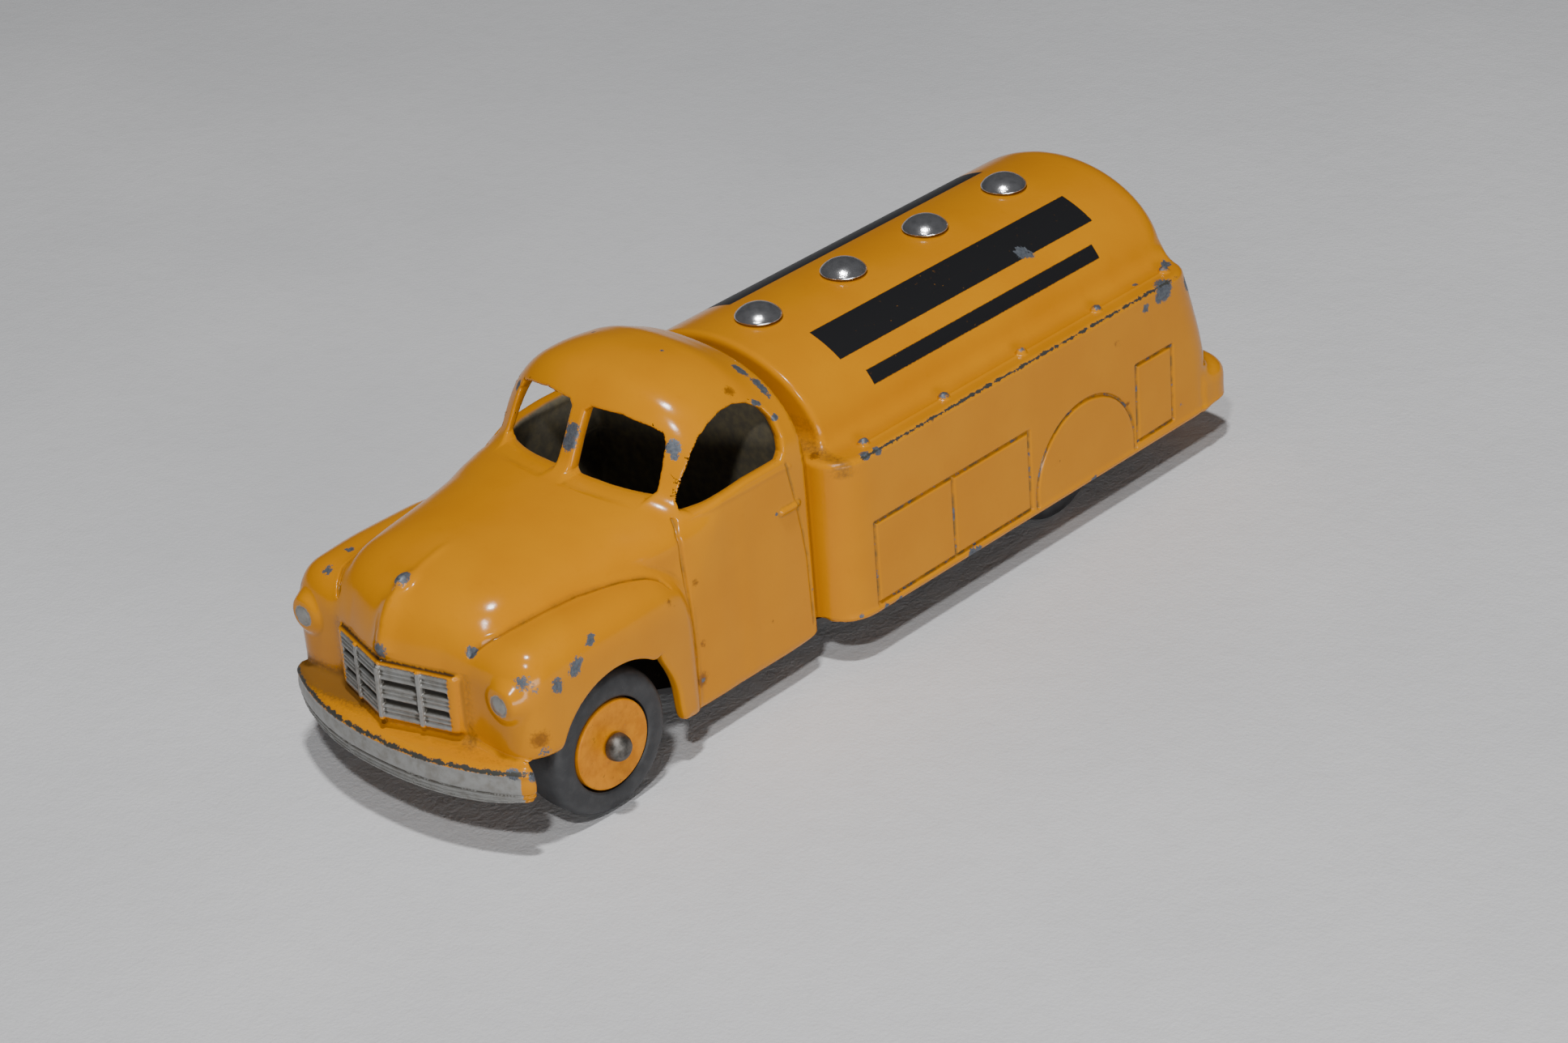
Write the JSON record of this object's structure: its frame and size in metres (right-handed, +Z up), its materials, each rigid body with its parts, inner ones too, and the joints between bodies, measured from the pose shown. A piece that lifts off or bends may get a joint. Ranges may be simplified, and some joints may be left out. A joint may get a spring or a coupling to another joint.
{
  "type": "toy tanker truck",
  "caption": "Die-cast toy tanker truck with a rounded cab, a barrel tank with full side skirts, filler caps and free-rolling rubber-tyred wheels.",
  "frame": {"origin": "on the ground under the middle of the truck's length and width", "axes": "+Z up, +Y towards the back of the truck, +X towards the truck's left side"},
  "size_m": [0.0368, 0.1138, 0.0369],
  "materials": {
    "body_enamel": "glossy yellow-orange enamel over zinc, chipped at the edges",
    "hub_enamel": "semi-gloss yellow enamel",
    "base_steel": "black painted pressed steel",
    "rivet_steel": "dull steel",
    "axle_steel": "aged dull steel",
    "cap_bright": "bright, lightly worn",
    "tyre_rubber": "smooth matt rubber"
  },
  "bodies": {
    "truck_body": {"cab_casting": "body_enamel", "tank_casting": "body_enamel", "base_plate": "base_steel", "base_rivet_1": "rivet_steel", "base_rivet_2": "rivet_steel", "base_rivet_3": "rivet_steel", "filler_cap_1": "cap_bright", "filler_cap_2": "cap_bright", "filler_cap_3": "cap_bright", "filler_cap_4": "cap_bright"},
    "front_axle_set": {"front_axle": "axle_steel"},
    "rear_axle_set": {"rear_axle": "axle_steel"},
    "front_left_wheel": {"hub_front_left": "hub_enamel", "tyre_front_left": "tyre_rubber"},
    "front_right_wheel": {"hub_front_right": "hub_enamel", "tyre_front_right": "tyre_rubber"},
    "rear_left_wheel": {"hub_rear_left": "hub_enamel", "tyre_rear_left": "tyre_rubber"},
    "rear_right_wheel": {"hub_rear_right": "hub_enamel", "tyre_rear_right": "tyre_rubber"}
  },
  "joints": [
    {"name": "front_axle_spin", "type": "hinge", "parent": "truck_body", "child": "front_axle_set", "pos_m": [0, -0.04125, 0.0077], "axis": [1, 0, 0], "continuous": true},
    {"name": "rear_axle_spin", "type": "hinge", "parent": "truck_body", "child": "rear_axle_set", "pos_m": [0, 0.02985, 0.0077], "axis": [1, 0, 0], "continuous": true},
    {"name": "front_left_wheel_spin", "type": "hinge", "parent": "front_axle_set", "child": "front_left_wheel", "pos_m": [0.014, -0.04125, 0.0077], "axis": [1, 0, 0], "continuous": true},
    {"name": "front_right_wheel_spin", "type": "hinge", "parent": "front_axle_set", "child": "front_right_wheel", "pos_m": [-0.014, -0.04125, 0.0077], "axis": [1, 0, 0], "continuous": true},
    {"name": "rear_left_wheel_spin", "type": "hinge", "parent": "rear_axle_set", "child": "rear_left_wheel", "pos_m": [0.012, 0.02985, 0.0077], "axis": [1, 0, 0], "continuous": true},
    {"name": "rear_right_wheel_spin", "type": "hinge", "parent": "rear_axle_set", "child": "rear_right_wheel", "pos_m": [-0.012, 0.02985, 0.0077], "axis": [1, 0, 0], "continuous": true}
  ]
}
